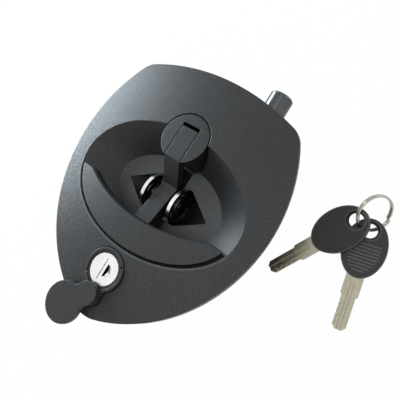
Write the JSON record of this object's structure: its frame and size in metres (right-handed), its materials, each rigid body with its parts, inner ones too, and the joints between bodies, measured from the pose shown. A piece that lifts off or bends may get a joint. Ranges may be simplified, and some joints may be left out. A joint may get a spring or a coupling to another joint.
{
  "type": "camper door lock",
  "caption": "Domed shield-shaped door lock with an oval finger bowl, rocking crescent handle, round spring bolt, covered key cylinder and keys on a split ring.",
  "frame": {"origin": "centre of the fixing pattern and of the finger bowl, on the plane of the door skin", "axes": "+Z out of the door through the dome, +Y along the bolt as it extends, +X along the grip"},
  "size_m": [0.2007, 0.1866, 0.0451],
  "materials": {
    "charcoal_plastic": "finely grained charcoal moulding",
    "black_plastic": "black moulding",
    "steel": "zinc-plated steel",
    "nickel": "satin nickel",
    "polished_steel": "polished",
    "brass": "turned",
    "rubber": "foam rubber"
  },
  "bodies": {
    "case": {"front_plate": "charcoal_plastic", "plate_gasket": "rubber", "round_head": "charcoal_plastic", "head_screw": "steel", "pivot_pin": "steel", "pin_clips": "steel", "pivot_ring_left": "nickel", "pivot_ring_right": "nickel", "torsion_spring_left": "steel", "torsion_spring_right": "steel", "lock_collar": "black_plastic", "lock_barrel": "black_plastic", "barrel_nut": "steel", "cover_rivet": "steel", "bolt_bush": "brass", "bolt_spring": "steel", "lever_stud": "steel", "stud_clip": "steel", "chassis": "black_plastic", "rear_cover": "steel", "case_screws": "steel"},
    "handle": {"pull_grip": "charcoal_plastic", "rocker_lever": "charcoal_plastic", "grip_screws": "steel"},
    "lever": {"transfer_lever": "steel"},
    "bolt": {"latch_bolt": "polished_steel", "draw_bar": "steel", "bar_screw": "steel", "drive_pin": "steel"},
    "plug": {"key_plug": "nickel", "lock_cam": "steel", "cam_screw": "steel"},
    "cover": {"swing_cover": "charcoal_plastic"},
    "keys": {"key_one_blade": "nickel", "key_one_bow": "black_plastic", "key_two_blade": "nickel", "key_two_bow": "black_plastic", "split_ring": "nickel"}
  },
  "joints": [
    {"name": "handle_rock", "type": "hinge", "parent": "case", "child": "handle", "pos_m": [0, -0.0014, -0.0095], "axis": [-1, 0, 0], "range_deg": [0, 18], "stiffness_Nm_per_rad": 0.4, "springref_deg": -28.65},
    {"name": "lever_swing", "type": "hinge", "parent": "case", "child": "lever", "pos_m": [-0.02, -0.0097, -0.0252], "axis": [0, 0, -1], "range_deg": [0, 15]},
    {"name": "bolt_slide", "type": "slide", "parent": "case", "child": "bolt", "axis": [0, -1, 0], "range_m": [0, 0.0134], "deforming": ["bolt_spring"]},
    {"name": "key_turn", "type": "hinge", "parent": "case", "child": "plug", "pos_m": [0, -0.0555, 0], "axis": [0, 0, -1], "range_deg": [0, 90]},
    {"name": "cover_swing", "type": "hinge", "parent": "case", "child": "cover", "pos_m": [0, -0.072, 0.012], "axis": [0, 0, -1], "range_deg": [0, 141]},
    {"name": "keys_lift", "type": "slide", "parent": "case", "child": "keys", "axis": [0.7071, 0, 0.7071], "range_m": [0, 0.05]}
  ],
  "couplings": [
    {"joint": "lever_swing", "follows": "handle_rock", "ratio": 0.8333},
    {"joint": "bolt_slide", "follows": "handle_rock", "m_per_rad": 0.04265}
  ]
}
